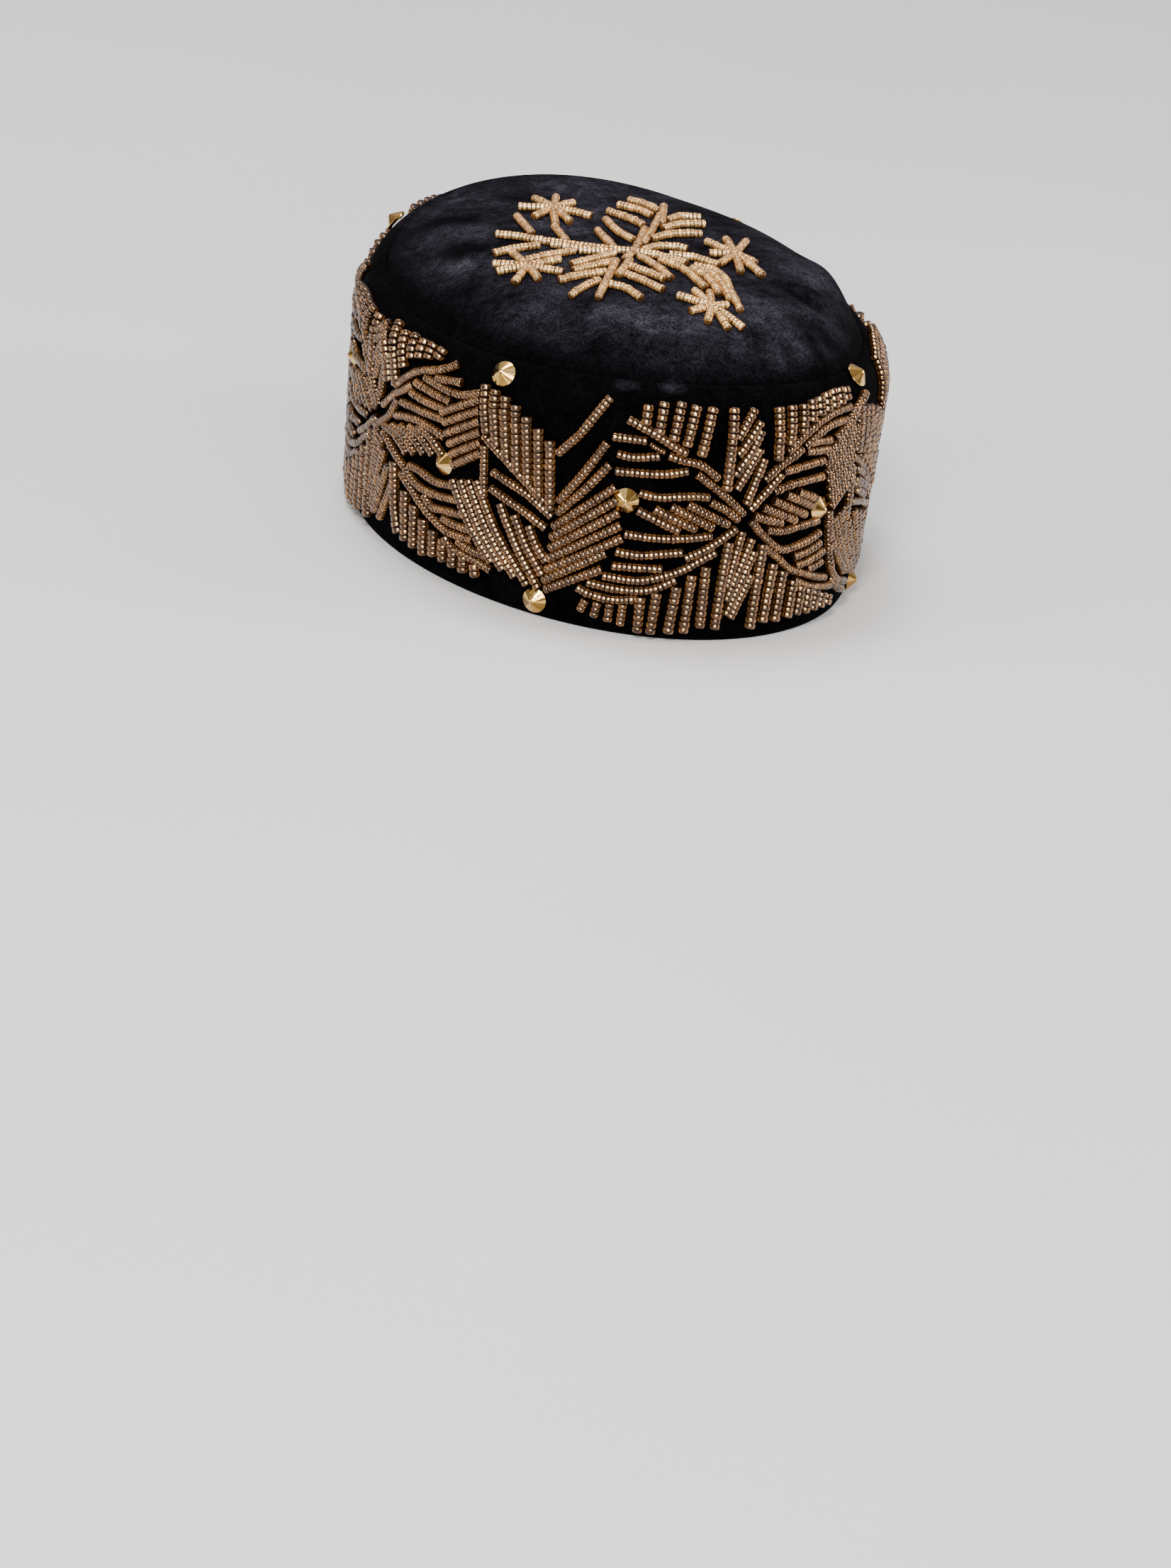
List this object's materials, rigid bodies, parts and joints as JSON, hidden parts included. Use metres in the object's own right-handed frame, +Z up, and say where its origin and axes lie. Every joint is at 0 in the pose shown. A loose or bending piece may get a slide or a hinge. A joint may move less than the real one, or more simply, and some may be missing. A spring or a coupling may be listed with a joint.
{
  "type": "embroidered velvet cap",
  "caption": "Oval flat-topped velvet cap with a straight side band, covered in bead flowers and zigzags, faceted gold studs and a beaded spray with small stars on the crown.",
  "frame": {"origin": "on the floor, under the middle of the cap's box", "axes": "+Y from the front to the back of the cap, its longest way; +Z up from the rim to the crown; +X to the wearer's left"},
  "size_m": [0.1836, 0.2194, 0.1078],
  "materials": {
    "black_velvet": "matte short pile",
    "gold_seed_beads": "glossy metal-lined beads",
    "gold_studs": "polished facets"
  },
  "bodies": {
    "root": {"side_band": "black_velvet", "crown_top": "black_velvet", "bead_flower_front": "gold_seed_beads", "bead_flower_right": "gold_seed_beads", "bead_flower_left": "gold_seed_beads", "bead_flower_back": "gold_seed_beads", "bead_chevron_front_right": "gold_seed_beads", "bead_chevron_front_left": "gold_seed_beads", "bead_chevron_back_left": "gold_seed_beads", "bead_chevron_back_right": "gold_seed_beads", "bead_crown_spray": "gold_seed_beads", "bead_star_back": "gold_seed_beads", "bead_star_right": "gold_seed_beads", "bead_star_left": "gold_seed_beads", "bead_star_front": "gold_seed_beads", "stud_front_right_top": "gold_studs", "stud_front_right_side_a": "gold_studs", "stud_front_right_side_b": "gold_studs", "stud_front_right_bottom": "gold_studs", "stud_front_left_top": "gold_studs", "stud_front_left_side_a": "gold_studs", "stud_front_left_side_b": "gold_studs", "stud_front_left_bottom": "gold_studs", "stud_back_left_top": "gold_studs", "stud_back_left_side_a": "gold_studs", "stud_back_left_side_b": "gold_studs", "stud_back_left_bottom": "gold_studs", "stud_back_right_top": "gold_studs", "stud_back_right_side_a": "gold_studs", "stud_back_right_side_b": "gold_studs", "stud_back_right_bottom": "gold_studs"}
  },
  "joints": []
}
